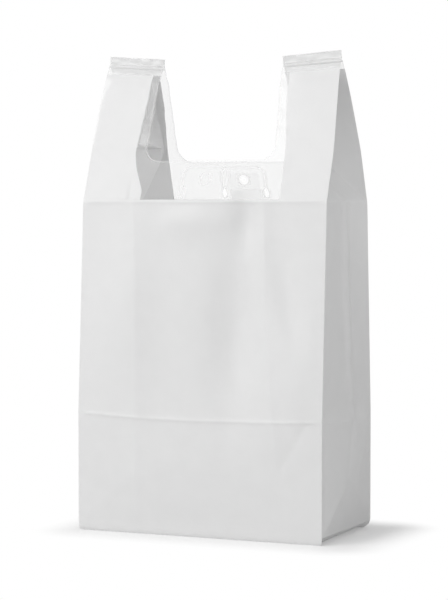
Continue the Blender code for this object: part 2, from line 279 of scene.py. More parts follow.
@dataclass
class FoldedForm:
    """Where each point of the flat film tube lies on the standing bag.

    A point of the flat film is u, its way round the tube from the left gusset's ridge,
    and v, its height above the foot. Both are real lengths.
    """

    width: float = 0.280
    gusset: float = 0.070
    mouth: float = 0.350
    top: float = 0.5055
    layer: float = 0.00035
    fold_round: float = 0.0008
    slit_foot: float = 0.4085
    seal_foot: float = 0.487
    closing_starts: float = 0.474
    seal_closed: float = 0.4965
    seal_slope: float = 0.07
    seal_slopes: tuple = (0.470, 0.500)
    handle_middle: float = 0.107
    crease: float = 0.126
    crease_sag: float = 0.004
    sag_reach: float = 0.07
    gable_head: float = 0.424
    # Outlines, as (height, distance) pairs, and how far their corners are rounded
    depth_round: float = 0.0025
    half_depths: tuple = (
        (0.0, 0.068),
        (0.002, 0.070),
        (0.126, 0.070),
        (0.350, 0.058),
        (0.375, 0.0488),
        (0.417, 0.0338),
        (0.450, 0.0220),
        (0.473, 0.0132),
        (0.4905, 0.0045),
        (0.4965, 0.0),
    )
    front_reach: tuple = ((0.0, 0.1380), (0.0025, 0.140))
    back_reach: tuple = ((0.0, 0.1330), (0.004, 0.1385), (0.009, 0.140))
    foot_notch: tuple = ((0.0, 0.0080), (0.0076, 0.0020), (0.0082, 0.0))
    notch_start: float = 0.003
    flap_gap_at: float = -0.007
    flap_gap: tuple = (0.0022, 0.006)
    notch_head: float = 0.02
    leans: tuple = ((0.405, 0.0), (0.456, 0.0022), (0.506, 0.0052))
    lean_round: float = 0.006
    sways: tuple = ((0.40, 0.0), (0.506, -0.0022))
    sway_round: float = 0.010
    right_tucks: tuple = ((0.350, 0.0), (0.424, 0.056), (0.455, 0.064), (0.4965, 0.070))
    right_round: float = 0.002
    left_tucks: tuple = (
        (0.16, 0.0),
        (0.25, 0.012),
        (0.31, 0.026),
        (0.352, 0.042),
        (0.3845, 0.060),
        (0.404, 0.0685),
        (0.410, 0.0695),
        (0.416, 0.0690),
    )
    left_round: float = 0.003
    left_back_tucks: tuple = (
        (0.400, 0.070),
        (0.412, 0.062),
        (0.425, 0.061),
        (0.439, 0.057),
        (0.462, 0.054),
        (0.4965, 0.070),
    )
    left_back_round: float = 0.004
    # Where the left pleat opens, about slit_foot, and how its halves lie above that
    front_opens: tuple = (-0.0015, 0.0035)
    back_opens: tuple = (-0.010, 0.010)
    laid_gap: float = 0.004
    laid_closes: tuple = (0.45, 0.49)
    back_bow: float = 0.45
    back_bow_closes: tuple = (0.47, 0.4965)
    # Between which places the folds hold the film still. Those at the mouth are about it.
    panel_held: tuple = (0.124, 0.1395)
    foot_held: tuple = (0.004, 0.030)
    mouth_held: tuple = (-0.003, 0.030)
    side_held: tuple = (0.056, 0.069)
    side_foot_held: tuple = (0.006, 0.020)
    side_mouth_held: tuple = (0.020, 0.045)
    # Crumples of the seals, and of the strips along the cut edges
    seals_shut: tuple = (0.484, 0.493)
    seal_crumples: tuple = (Crumple(0.0007, 0.013, 2.0), Crumple(0.0003, 0.006, 5.0))
    strip_crumple: Crumple = Crumple(0.0014, 0.020, 1.0)
    strip_stretch: float = 0.6
    strip_edges: tuple = (-0.092, -0.080)
    strip_starts: tuple = (0.40, 0.43)
    gusset_starts: tuple = (0.409, 0.42)
    # What stands out, at places across and up: x and z on a panel, y and z on a side
    front_forms: tuple = (
        Swell(0.049, 0.330, 0.014, 0.030, -0.0066),
        Swell(0.040, 0.220, 0.030, 0.085, -0.0118),
        Swell(-0.013, 0.330, 0.036, 0.016, 0.0036),
        Swell(-0.085, 0.240, 0.034, 0.085, 0.0064),
        Swell(0.098, 0.250, 0.014, 0.070, -0.0044, 12.0),
        Swell(-0.030, 0.070, 0.080, 0.045, 0.0032),
        Swell(0.110, 0.170, 0.020, 0.050, 0.0026),
        Crease(((-0.139, 0.3506), (0.139, 0.3506)), 0.0016, 0.0014),
        Crease(((-0.139, 0.126), (0.139, 0.126)), 0.0014, 0.0010),
        Crease(((-0.079, 0.347), (-0.072, 0.247), (-0.069, 0.020)), 0.012, 0.0014),
        Crease(((0.070, 0.347), (0.072, 0.234), (0.081, 0.168), (0.088, 0.101)), 0.005, 0.0011),
        Crease(((0.071, 0.064), (0.139, 0.008)), 0.004, 0.0009),
        Crease(((-0.071, 0.064), (-0.139, 0.008)), 0.004, 0.0006),
        Crease(((0.121, 0.123), (0.093, 0.076)), 0.005, -0.0012),
        Crease(((-0.0851, 0.355), (-0.0860, 0.388)), 0.0016, -0.0026),
    )
    back_forms: tuple = (
        Swell(-0.045, 0.290, 0.035, 0.060, -0.0040),
        Swell(0.050, 0.220, 0.040, 0.080, -0.0035),
        Swell(-0.085, 0.170, 0.030, 0.060, 0.0025),
        Swell(0.015, 0.075, 0.080, 0.040, 0.0022),
        Crease(((-0.072, 0.347), (-0.070, 0.020)), 0.008, 0.0009),
        Crease(((0.070, 0.347), (0.072, 0.020)), 0.008, -0.0009),
        Crease(((0.071, 0.064), (0.139, 0.008)), 0.005, 0.0006),
        Crease(((-0.071, 0.064), (-0.139, 0.008)), 0.005, 0.0006),
    )
    right_forms: tuple = (
        Pinch(
            (
                (0.014, 0.121),
                (0.001, 0.145),
                (-0.005, 0.198),
                (-0.0115, 0.257),
                (-0.016, 0.300),
                (-0.016, 0.350),
            ),
            0.0026,
            0.022,
            ((0.10, 0.0), (0.135, 0.0055), (0.30, 0.0070), (0.350, 0.0046), (0.358, 0.0)),
        ),
        Hip(-0.023, 0.062, 0.0105, 0.008, 0.070, 0.135),
        Crease(((-0.068, 0.124), (0.0, 0.121), (0.068, 0.118)), 0.0015, 0.0007),
        Crease(((0.014, 0.121), (-0.023, 0.062)), 0.004, -0.0014),
        Crease(((-0.068, 0.010), (-0.023, 0.062), (0.066, 0.010)), 0.0022, 0.0013),
        Crease(((0.020, 0.0657), (0.0717, 0.062)), 0.003, 0.0014),
        Crease(((0.0712, 0.1106), (0.0204, 0.0678)), 0.005, 0.0015),
        Crease(((-0.043, 0.382), (-0.014, 0.358)), 0.0018, 0.0016),
        Crease(((-0.026, 0.352), (-0.034, 0.371)), 0.0018, 0.0014),
        Crease(((-0.006, 0.352), (-0.018, 0.372)), 0.0018, 0.0014),
    )
    left_forms: tuple = (
        Hip(0.0, 0.062, 0.0100, 0.008, 0.070, 0.140),
        Crease(((0.0, 0.062), (0.0, 0.150)), 0.006, 0.0012),
        Crease(((-0.068, 0.121), (0.068, 0.121)), 0.0015, 0.0007),
    )
    # Where the milky film ends, as (height, distance from the middle) pairs
    clear_edge: tuple = ((0.352, 0.0872), (0.404, 0.0862), (0.456, 0.0829), (0.489, 0.0835))
    flap_edge: tuple = ((0.352, 0.0715), (0.362, 0.0718), (0.385, 0.0822), (0.404, 0.0870))
    clear_foot: float = 0.3525
    front_clear: float = 0.94
    patch_clear: float = 0.86
    milky_patches: tuple = ((-0.0165, 0.0167, 0.382), (-0.0165, 0.029, 0.365))
    crinkle_edge: float = 0.0007
    crinkle_starts: tuple = (0.400, 0.425)

    @property
    def girth(self) -> float:
        """All the way round the film tube."""
        return 2.0 * self.width + 4.0 * self.gusset

    def half_depth(self, v: np.ndarray) -> np.ndarray:
        """From the middle of the bag to its front or back corner folds."""
        seal_stack = 1.5 * self.layer
        return np.maximum(rounded(self.half_depths, v, self.depth_round), 0.0) + seal_stack

    def packed(self, u: np.ndarray) -> tuple[np.ndarray, np.ndarray, np.ndarray]:
        """Where points lie across the bag while it is still folded flat.

        Args:
            u: Their places round the tube.

        Returns:
            Their x, their way into a gusset from its corner fold (0 on a panel), and -1
            on the tube's front half or 1 on its back half.
        """
        u = np.mod(u, self.girth)
        side = np.where(u > self.girth / 2.0, 1.0, -1.0)
        m = np.where(side > 0, self.girth - u, u)
        inward = np.maximum(self.gusset - m, m - self.gusset - self.width)
        inward = np.maximum(inward, 0.0)
        x = np.clip(m - self.girth / 4.0, -self.width / 2.0, self.width / 2.0)
        return x - np.sign(x) * inward, inward, side

    def raw(self, u: np.ndarray, v: np.ndarray) -> np.ndarray:
        """Folds flat points up, before the folds are rounded.

        Args:
            u: Their places round the tube.
            v: Their heights above the foot.

        Returns:
            Their places on the standing bag, one row each.
        """
        x, inward, side = self.packed(u)
        hand = np.where(x > 0, 1.0, -1.0)
        half = self.width / 2.0
        closing = ramp(v, self.closing_starts, self.seal_closed)
        lean = rounded(self.leans, v, self.lean_round)
        sway = rounded(self.sways, v, self.sway_round)
        to_back = inward / self.gusset / 2.0
        to_back = np.where(side < 0, to_back, 1.0 - to_back)
        front = np.interp(v, *zip(*self.front_reach))
        back = np.interp(v, *zip(*self.back_reach))
        foot = (front + (back - front) * to_back) / half
        depth = self.half_depth(v)
        in_gusset = inward > 0.0

        leant = x - hand * lean * np.clip(np.abs(x) / self.gusset, 0.0, 1.0)
        panel_x = leant * foot + sway
        relief = np.where(
            side < 0,
            self.relief(self.front_forms, x, v),
            self.relief(self.back_forms, x, v),
        )
        panel_y = depth + relief * self.held(x, v)

        corner_x = hand * (half - lean) * foot + sway
        corner_y = depth - self.layer * closing
        ridge_y = 0.5 * self.layer * closing
        inset, y = self.gusset_section(v, inward, side, hand, corner_y, ridge_y)
        side_lift = self.side_lift(y * side, v, hand)
        gusset_x = corner_x + hand * (side_lift - inset)

        sloping = ramp(v, *self.seal_slopes)
        z = v + self.seal_slope * (np.abs(x) - self.handle_middle) * sloping
        z = z - self.crease_drop(x, v, in_gusset)
        points = np.stack(
            [
                np.where(in_gusset, gusset_x, panel_x),
                side * np.where(in_gusset, y, panel_y),
                z,
            ],
            axis=-1,
        )
        points[..., 1] += self.crumple(x, v, side, in_gusset)
        return points

    def gusset_section(
        self,
        v: np.ndarray,
        inward: np.ndarray,
        side: np.ndarray,
        hand: np.ndarray,
        corner_y: np.ndarray,
        ridge_y: np.ndarray,
    ) -> tuple[np.ndarray, np.ndarray]:
        """The level section of the gussets.

        Args:
            v: Heights.
            inward: The way in from the corner folds, along the film.
            side: -1 on the front half, 1 on the back half.
            hand: -1 at the left, 1 at the right.
            corner_y: How far the corner folds stand from the middle.
            ridge_y: How far the gusset's ridge stands from the middle.

        Returns:
            How far each point stands in from the corner folds, and its distance from
            the middle.
        """
        share = inward / self.gusset
        notch = np.interp(v, *zip(*self.foot_notch)) * ramp(inward, 0.0, self.notch_start)
        across = side * (self.gusset - inward)
        wide, deep = self.flap_gap
        parted = np.exp(-(((across - self.flap_gap_at) / wide) ** 2))
        notch = notch + deep * parted * (1.0 - ramp(v, 0.0, self.foot_notch[-1][0]))
        at_foot = v < self.notch_head
        # Right: a gable, whose floor slopes from the mouth crease up to the ridge
        rise = np.clip((v - self.mouth) / (self.gable_head - self.mouth), 0.0, 1.0)
        out = 1.0 - rise
        tuck = rounded(self.right_tucks, v, self.right_round)
        bend = 1.0 - out
        first = np.clip(share / np.maximum(bend, TINY), 0.0, 1.0)
        second = np.clip((share - bend) / np.maximum(out, TINY), 0.0, 1.0)
        bend_y = ridge_y + (corner_y - ridge_y) * out
        wall = share < bend
        right_inset = np.where(wall, tuck * first, tuck)
        right_inset = np.where(at_foot, notch, right_inset)
        wall_y = corner_y + (bend_y - corner_y) * first
        right_y = np.where(wall, wall_y, bend_y + (ridge_y - bend_y) * second)
        # Left: a plain pleat. The die has slit its ridge above slit_foot, and there the
        # front half lies behind the front of the handle.
        tuck = rounded(self.left_tucks, v, self.left_round)
        low, high = self.front_opens
        open_up = ramp(v, self.slit_foot + low, self.slit_foot + high)
        plain_y = corner_y + (ridge_y - corner_y) * share
        laid_y = corner_y - self.laid_gap * share * (1.0 - ramp(v, *self.laid_closes))
        front_inset = tuck * share * (1 - open_up) + inward * open_up
        front_y = plain_y * (1 - open_up) + laid_y * open_up
        back_tuck = rounded(self.left_back_tucks, v, self.left_back_round)
        low, high = self.back_opens
        back_open = ramp(v, self.slit_foot + low, self.slit_foot + high)
        back_ridge = ridge_y + self.back_bow * corner_y * (1.0 - ramp(v, *self.back_bow_closes))
        back_inset = (tuck * (1 - back_open) + back_tuck * back_open) * share
        bowed_y = corner_y + (back_ridge - corner_y) * share
        back_y = plain_y * (1 - back_open) + bowed_y * back_open
        left_inset = np.where(side < 0, front_inset, back_inset)
        left_inset = np.where(at_foot, notch, left_inset)
        left_y = np.where(side < 0, front_y, back_y)
        inset = np.where(hand > 0, right_inset, left_inset)
        return inset, np.where(hand > 0, right_y, left_y)

    def relief(self, forms: tuple, across: np.ndarray, up: np.ndarray) -> np.ndarray:
        """All of a panel's or side's forms together.

        Args:
            forms: Its swells, creases and the like.
            across: Places across it.
            up: Their heights.

        Returns:
            The heights above the plain film.
        """
        total = np.zeros_like(across)
        for form in forms:
            total += form.height(across, up)
        return total

    def held(self, x: np.ndarray, v: np.ndarray) -> np.ndarray:
        """How free a panel is to swell: 1, falling to 0 at its corner folds, foot and handles.

        Args:
            x: Places across the panel.
            v: Their heights.

        Returns:
            The shares.
        """
        edge = 1.0 - ramp(np.abs(x), *self.panel_held)
        foot = ramp(v, *self.foot_held)
        low, high = self.mouth_held
        head = 1.0 - ramp(v, self.mouth + low, self.mouth + high)
        return edge * foot * head

    def side_lift(self, y: np.ndarray, v: np.ndarray, hand: np.ndarray) -> np.ndarray:
        """How far the folds of a side stand out.

        Args:
            y: Places across the side.
            v: Their heights.
            hand: -1 at the left, 1 at the right.

        Returns:
            The distances.
        """
        free = 1.0 - ramp(np.abs(y), *self.side_held)
        right = self.relief(self.right_forms, y, v)
        left = self.relief(self.left_forms, y, v)
        low, high = self.side_mouth_held
        head = 1.0 - ramp(v, self.mouth + low, self.mouth + high)
        pinned = ramp(v, *self.side_foot_held) * head
        return np.where(hand > 0, right, left) * free * pinned

    def crease_drop(self, x: np.ndarray, v: np.ndarray, in_gusset: np.ndarray) -> np.ndarray:
        """How far the level crease across the body hangs below its ends.

        Args:
            x: Places across the panel.
            v: Their heights.
            in_gusset: Which places are in a gusset, where nothing hangs.

        Returns:
            The distances.
        """
        near = np.clip(1.0 - np.abs(v - self.crease) / self.sag_reach, 0.0, 1.0)
        share = x / (self.width / 2.0)
        return np.where(in_gusset, 0.0, self.crease_sag * (1.0 - share * share) * near)

    def crumple(
        self, x: np.ndarray, v: np.ndarray, side: np.ndarray, in_gusset: np.ndarray
    ) -> np.ndarray:
        """How far crumples move the film towards +Y: in the seals and along the cut edges.

        Args:
            x: Places across the bag while it is still folded flat.
            v: Their heights above the foot.
            side: -1 on the front half, 1 on the back half.
            in_gusset: Which places are in a gusset.

        Returns:
            The distances.
        """
        shut = ramp(v, *self.seals_shut)
        together = self.relief(self.seal_crumples, x, v)
        free_edge = ramp(-np.abs(x), *self.strip_edges) * ramp(v, *self.strip_starts)
        loose = np.where(in_gusset, ramp(v, *self.gusset_starts), 1.0)
        apart = self.strip_crumple.height(x * self.strip_stretch, v) * free_edge * loose
        return together * shut + side * apart * (1.0 - shut)

    def place(self, u: np.ndarray, v: np.ndarray) -> np.ndarray:
        """Folds flat points up, with every fold rounded as the film's stiffness rounds it.

        Args:
            u: Their places round the tube.
            v: Their heights above the foot.

        Returns:
            Their places on the standing bag, one row each.
        """
        total = 0.0
        for step, weight in ROUNDING:
            total = total + weight * self.raw(u + step * self.fold_round, v)
        return total / ROUNDING_TOTAL

    def clear_reach(self, u: np.ndarray, v: np.ndarray) -> np.ndarray:
        """How far places lie inside the clear film, or below 0 how far off it in the milky film.

        Args:
            u: Places round the tube.
            v: Their heights above the foot.

        Returns:
            The distances.
        """
        x, inward, side = self.packed(u)
        at_flap = (side < 0) & (x < 0.0)
        edge = np.interp(v, *zip(*self.clear_edge))
        flap = np.interp(v, *zip(*self.flap_edge))
        edge = np.where(at_flap, np.minimum(edge, flap), edge)
        band = np.minimum(edge - np.abs(x), v - self.clear_foot)
        laid_open = at_flap & (v > self.slit_foot)
        band = np.where((inward <= 0.0) | laid_open, band, -self.gusset)
        return np.maximum(band, v - self.seal_foot)

    def clear_most(self, u: np.ndarray, v: np.ndarray) -> np.ndarray:
        """How see-through the clear film gets: 1, or less on the front and the back's patches.

        Args:
            u: Places round the tube.
            v: Their heights above the foot.

        Returns:
            The shares.
        """
        x, _, side = self.packed(u)
        most = np.where(side < 0, self.front_clear, 1.0)
        for left, right, head in self.milky_patches:
            within = (side > 0) & (x > left) & (x < right) & (v < head)
            most = np.where(within, most * self.patch_clear, most)
        return np.where(v > self.seal_foot, 1.0, most)

    def crinkled(self, u: np.ndarray, v: np.ndarray) -> np.ndarray:
        """Where the clear film is drawn or pressed into fine crinkles: the strips and seals."""
        clear = ramp(self.clear_reach(u, v), -self.crinkle_edge, self.crinkle_edge)
        return clear * ramp(v, *self.crinkle_starts)


@dataclass
class DieCuts:
    """The outlines that the die stamps through the flat bag, as (x, z) points."""

    half_gap: float = 0.074
    gap_floor: float = 0.3935
    gap_corner: float = 0.017
    tab_width: float = 0.050
    tab_drop: float = 0.0065
    tab_corner: float = 0.009
    slit: float = 0.0005
    hole: float = 0.0105
    hole_height: float = 0.374
    notch_width: float = 0.005
    notch_height: float = 0.010
    notch_middle: float = 0.360
    notch_reach: float = 0.0248
    # Width of the painted shade drawn as a milky line along each cut edge
    painted_edge_shade_width: float = 0.0006
    above: float = 0.530
    arc_steps: int = 10
    oval_steps: int = 32

    def arc(self, x: float, z: float, radius: float, start: float, end: float) -> list:
        """Points on an arc.

        Args:
            x: Its middle.
            z: Its middle's height.
            radius: Its radius.
            start: Where it starts, in degrees from +X towards +Z.
            end: Where it ends.

        Returns:
            The points, both ends among them.
        """
        count = self.arc_steps
        turn = [math.radians(start + (end - start) * i / count) for i in range(count + 1)]
        return [(x + radius * math.cos(a), z + radius * math.sin(a)) for a in turn]

    def oval(self, x: float, z: float, width: float, height: float) -> list:
        """A closed outline with no corners."""
        turn = [2.0 * math.pi * i / self.oval_steps for i in range(self.oval_steps)]
        return [(x + width / 2 * math.cos(a), z + height / 2 * math.sin(a)) for a in turn]

    def gap(self) -> list:
        """The gap between the handles.

        Returns:
            Its outline, open at the top, well above the film.
        """
        inner = self.half_gap - self.gap_corner
        middle = self.gap_floor + self.gap_corner
        outline = [(-self.half_gap, self.above)]
        outline += self.arc(-inner, middle, self.gap_corner, 180, 270)
        outline += self.arc(inner, middle, self.gap_corner, 270, 360)
        outline.append((self.half_gap, self.above))
        return outline

    def ridge_slit(self, gusset_reach: float) -> list:
        """What the gap's edge takes off a gusset's ridge, about that ridge.

        Args:
            gusset_reach: How far from the bag's middle the ridge lies, folded flat.

        Returns:
            The outline, with x from the ridge.
        """
        over = self.half_gap - gusset_reach
        inner = self.half_gap - self.gap_corner
        middle = self.gap_floor + self.gap_corner
        low = math.acos((gusset_reach - inner) / self.gap_corner)
        right = self.arc(-(gusset_reach - inner), middle, self.gap_corner, -math.degrees(low), 0)
        left = [(-x, z) for x, z in reversed(right)]
        return [(-over, self.above)] + left + right[1:] + [(over, self.above)]

    def tab(self) -> list:
        """The slit round the tab, from one notch over the top to the other.

        Returns:
            Its outline: out along its outer edge, and back along its inner one.
        """
        half = self.tab_width / 2
        top = self.gap_floor - self.tab_drop
        outline = []
        for off, order in ((self.slit / 2, 1), (-self.slit / 2, -1)):
            radius = self.tab_corner + off
            middle = top - self.tab_corner
            edge = [(half + off, self.notch_middle)]
            edge += self.arc(half - self.tab_corner, middle, radius, 0, 90)
            edge += self.arc(-half + self.tab_corner, middle, radius, 90, 180)
            edge.append((-half - off, self.notch_middle))
            outline += edge[::order]
        return outline

    def edges(self) -> list[list]:
        """Every cut edge.

        Returns:
            Each edge as a line of (x, z) points.
        """
        lines = [self.gap(), self.tab()[: len(self.tab()) // 2]]
        rims = [self.oval(0.0, self.hole_height, self.hole, self.hole)]
        for reach in (-self.notch_reach, self.notch_reach):
            rims.append(self.oval(reach, self.notch_middle, self.notch_width, self.notch_height))
        return lines + [rim + rim[:1] for rim in rims]

    def painted_edge_shade(self, x: np.ndarray, v: np.ndarray) -> np.ndarray:
        """Where the film is drawn milkier along the cut edges, as painted shade: 1 on a cut edge,
        falling to 0 just off it.

        Args:
            x: Places across the bag while it is still folded flat.
            v: Their heights above the foot.

        Returns:
            The shares.
        """
        most = np.zeros_like(x)
        for line in self.edges():
            most = np.maximum(most, Crease(tuple(line), self.painted_edge_shade_width, 1.0).height(x, v))
        return most


def add_node(
    tree: bpy.types.NodeTree, kind: str, links: dict | None = None, **settings
) -> bpy.types.Node:
    """Adds a shader node with its settings and links.

    Args:
        tree: The material's or world's node tree.
        kind: The node's type, such as "ShaderNodeMath".
        links: Input name or number to a value, or to an output socket to join.
        **settings: Properties of the node itself.

    Returns:
        The new node.
    """
    node = tree.nodes.new(kind)
    for name, value in settings.items():
        setattr(node, name, value)
    for name, value in (links or {}).items():
        if isinstance(value, bpy.types.NodeSocket):
            tree.links.new(value, node.inputs[name])
        else:
            node.inputs[name].default_value = value
    return node


@dataclass(frozen=True)
class BlownPolythene:
    """Milky blown high-density polythene film, 30 micrometres thick.

    Blowing leaves faint upright die lines and a soft shine. The white pigment lets about
    a quarter of the light through. Where the film has been pressed by the seals or
    stretched by the die it is clearer and glossier, with fine crinkles.
    """

    milk: str = "#f4f4f4"
    shade: str = "#efefef"
    glow: str = "#f4f4f4"
    clear_tint: str = "#fbfbfb"
    let_through: float = 0.27
    ior: float = 1.51
    roughness: float = 0.42
    roughness_spread: float = 0.05
    clear_cover: float = 0.09
    # Painted shade: how much milkier crinkled clear film is drawn in facets, for the grey that
    # light gives crumpled film
    painted_crinkle_shade: float = 0.42
    # How much milkier the film is drawn along cut edges, as painted shade for their dark line
    painted_edge_shade_cover: float = 0.28
    seal_line_cover: float = 0.40
    clear_roughness: float = 0.16
    clear_shine: float = 0.02
    grazing_shine: float = 0.40
    grazing_power: float = 3.0
    crinkle_levels: tuple = (0.30, 0.80)
    clear_edge_mm: float = 0.4
    seal_lines_mm: tuple = (494.2, 497.2)
    seal_line_width_mm: float = 0.7
    die_lines_mm: tuple = (2.2, 90.0)
    die_line_depth_mm: float = 0.12
    die_line_share: float = 0.25
    slack_mm: tuple = (20.0, 20.0)
    slack_depth_mm: float = 1.0
    slack_share: float = 0.5
    slack_fineness: float = 0.4
    crinkles_mm: tuple = (10.0, 10.0)
    crinkle_depth_mm: float = 0.8
    crinkle_detail: float = 2.0

    def pattern(
        self,
        tree: bpy.types.NodeTree,
        in_mm: bpy.types.NodeSocket,
        kind: str,
        sizes: tuple,
        **settings,
    ) -> bpy.types.NodeSocket:
        """A noise laid on the flat film.

        Args:
            tree: The material's node tree.
            in_mm: Places on the flat film, in millimetres.
            kind: The noise's type.
            sizes: Its grain across and up the film, in millimetres.
            **settings: The noise's other inputs, by name.

        Returns:
            The noise's level.
        """
        scale = (1.0 / sizes[0], 1.0 / sizes[1], 1.0)
        at = add_node(tree, "ShaderNodeVectorMath", {0: in_mm, 1: scale}, operation="MULTIPLY")
        inputs = {"Vector": at.outputs[0], "Scale": 1.0} | settings
        return add_node(tree, "ShaderNodeTexNoise", inputs, noise_type=kind).outputs[0]

    def marks(
        self, tree: bpy.types.NodeTree, in_mm: bpy.types.NodeSocket
    ) -> dict[str, bpy.types.NodeSocket]:
        """Reads the film's marks off its vertices, and lays its patterns on it.

        Args:
            tree: The material's node tree.
            in_mm: Places on the flat film, in millimetres.

        Returns:
            The level of each mark and pattern, by name.
        """
        # One of these marks carries painted shade along the cut edges
        marks = {
            name: add_node(tree, "ShaderNodeAttribute", attribute_name=name).outputs["Fac"]
            for name in ("clear_reach", "clear_most", "crinkled", "painted_edge_shade")
        }
        blur = self.clear_edge_mm * MM
        within = add_node(
            tree,
            "ShaderNodeMapRange",
            {"Value": marks["clear_reach"], "From Min": -blur, "From Max": blur},
            interpolation_type="SMOOTHSTEP",
        ).outputs[0]
        marks["clear"] = add_node(
            tree, "ShaderNodeMath", {0: within, 1: marks["clear_most"]}, operation="MULTIPLY"
        ).outputs[0]
        # Die lines are long upright streaks, where the film was drawn thicker or thinner
        marks["die_lines"] = self.pattern(tree, in_mm, "FBM", self.die_lines_mm)
        marks["slack"] = self.pattern(
            tree, in_mm, "FBM", self.slack_mm, Roughness=self.slack_fineness
        )
        ridges = self.pattern(
            tree, in_mm, "RIDGED_MULTIFRACTAL", self.crinkles_mm, Detail=self.crinkle_detail
        )
        low, high = self.crinkle_levels
        marks["crinkles"] = add_node(
            tree,
            "ShaderNodeMapRange",
            {"Value": ridges, "From Min": low, "From Max": high},
            interpolation_type="SMOOTHSTEP",
        ).outputs[0]
        return marks

    def cover(
        self, tree: bpy.types.NodeTree, in_mm: bpy.types.NodeSocket, marks: dict
    ) -> bpy.types.NodeSocket:
        """How much of what lies behind the film it hides.

        Args:
            tree: The material's node tree.
            in_mm: Places on the flat film, in millimetres.
            marks: The film's marks and patterns, by name.

        Returns:
            The share that it covers.
        """
        # Painted shade: crinkled clear film is drawn milkier in the facets of the crinkle pattern
        folds = add_node(
            tree,
            "ShaderNodeMath",
            {0: marks["crinkles"], 1: marks["crinkled"]},
            operation="MULTIPLY",
        ).outputs[0]
        # Painted shade: the film is drawn milkier along cut edges, which shows as their dark line
        added = [(folds, self.painted_crinkle_shade), (marks["painted_edge_shade"], self.painted_edge_shade_cover)]
        height = add_node(tree, "ShaderNodeSeparateXYZ", {0: in_mm}).outputs[1]
        for line in self.seal_lines_mm:
            near = add_node(
                tree,
                "ShaderNodeMath",
                {0: height, 1: line, 2: self.seal_line_width_mm},
                operation="COMPARE",
            ).outputs[0]
            added.append((near, self.seal_line_cover))
        covered = add_node(
            tree,
            "ShaderNodeMapRange",
            {"Value": marks["clear"], "To Min": 1.0, "To Max": self.clear_cover},
        ).outputs[0]
        for level, share in added:
            covered = add_node(
                tree,
                "ShaderNodeMath",
                {0: level, 1: share, 2: covered},
                operation="MULTIPLY_ADD",
                use_clamp=True,
            ).outputs[0]
        return covered

    def bumps(self, tree: bpy.types.NodeTree, marks: dict) -> list[bpy.types.NodeSocket]:
        """The film's slight unevenness, each pattern on top of the one before.

        Args:
            tree: The material's node tree.
            marks: The film's marks and patterns, by name.

        Returns:
            The normals with its slack, with its crinkles too, and with its die lines too.
        """
        layers = (
            (marks["slack"], self.slack_share, self.slack_depth_mm),
            (marks["crinkles"], marks["crinkled"], self.crinkle_depth_mm),
            (marks["die_lines"], self.die_line_share, self.die_line_depth_mm),
        )
        normals = []
        for height, share, depth in layers:
            inputs = {"Height": height, "Strength": share, "Distance": depth * MM}
            if normals:
                inputs["Normal"] = normals[-1]
            normals.append(add_node(tree, "ShaderNodeBump", inputs).outputs[0])
        return normals

    def milky_film(
        self, tree: bpy.types.NodeTree, marks: dict, normals: list
    ) -> bpy.types.NodeSocket:
        """The pigmented film, which sends some of its light back and some through.

        Args:
            tree: The material's node tree.
            marks: The film's marks and patterns, by name.
            normals: The film's normals, from bumps.

        Returns:
            The shader.
        """
        colour = add_node(
            tree,
            "ShaderNodeMix",
            {0: marks["slack"], 6: linear(self.milk), 7: linear(self.shade)},
            data_type="RGBA",
        ).outputs[2]
        rough = add_node(
            tree,
            "ShaderNodeMapRange",
            {
                "Value": marks["die_lines"],
                "To Min": self.roughness - self.roughness_spread,
                "To Max": self.roughness + self.roughness_spread,
            },
        ).outputs[0]
        body = add_node(
            tree,
            "ShaderNodeBsdfPrincipled",
            {"Base Color": colour, "Roughness": rough, "IOR": self.ior, "Normal": normals[2]},
        )
        through = add_node(
            tree,
            "ShaderNodeBsdfTranslucent",
            {"Color": linear(self.glow), "Normal": normals[1]},
        )
        return add_node(
            tree,
            "ShaderNodeMixShader",
            {0: self.let_through, 1: body.outputs[0], 2: through.outputs[0]},
        ).outputs[0]

    def glint(
        self, tree: bpy.types.NodeTree, marks: dict, normals: list
    ) -> bpy.types.NodeSocket:
        """How much the clear film shines, which is most where it is seen edge on.

        Args:
            tree: The material's node tree.
            marks: The film's marks and patterns, by name.
            normals: The film's normals, from bumps.

        Returns:
            The share of the shine.
        """
        facing = add_node(
            tree, "ShaderNodeLayerWeight", {"Blend": 0.5, "Normal": normals[2]}
        ).outputs[1]
        edge_on = add_node(
            tree, "ShaderNodeMath", {0: facing, 1: self.grazing_power}, operation="POWER"
        ).outputs[0]
        gloss = add_node(
            tree,
            "ShaderNodeMath",
            {0: edge_on, 1: self.grazing_shine, 2: self.clear_shine},
            operation="MULTIPLY_ADD",
        ).outputs[0]
        return add_node(
            tree, "ShaderNodeMath", {0: gloss, 1: marks["clear"]}, operation="MULTIPLY"
        ).outputs[0]

    def build(self) -> bpy.types.Material:
        """Makes the material from the film's flat map and its marks."""
        material = bpy.data.materials.new("blown_polythene")
        material.use_nodes = True
        tree = material.node_tree
        tree.nodes.clear()
        flat = add_node(tree, "ShaderNodeUVMap", uv_map="flat_film").outputs[0]
        in_mm = add_node(
            tree, "ShaderNodeVectorMath", {0: flat, 1: (1.0 / MM,) * 3}, operation="MULTIPLY"
        ).outputs[0]
        marks = self.marks(tree, in_mm)
        normals = self.bumps(tree, marks)
        milky = self.milky_film(tree, marks, normals)
        clear = add_node(
            tree, "ShaderNodeBsdfTransparent", {0: linear(self.clear_tint)}
        ).outputs[0]
        shine = add_node(
            tree,
            "ShaderNodeBsdfGlossy",
            {"Roughness": self.clear_roughness, "Normal": normals[2]},
        ).outputs[0]
        # Light that has entered the film's wall leaves it with no second scattering
        nothing = add_node(tree, "ShaderNodeBsdfTransparent").outputs[0]
        leaving = add_node(tree, "ShaderNodeNewGeometry").outputs["Backfacing"]
        surface = clear
        for share, layer in (
            (self.cover(tree, in_mm, marks), milky),
            (self.glint(tree, marks, normals), shine),
            (leaving, nothing),
        ):
            surface = add_node(
                tree, "ShaderNodeMixShader", {0: share, 1: surface, 2: layer}
            ).outputs[0]
        add_node(tree, "ShaderNodeOutputMaterial", {"Surface": surface})
        return material


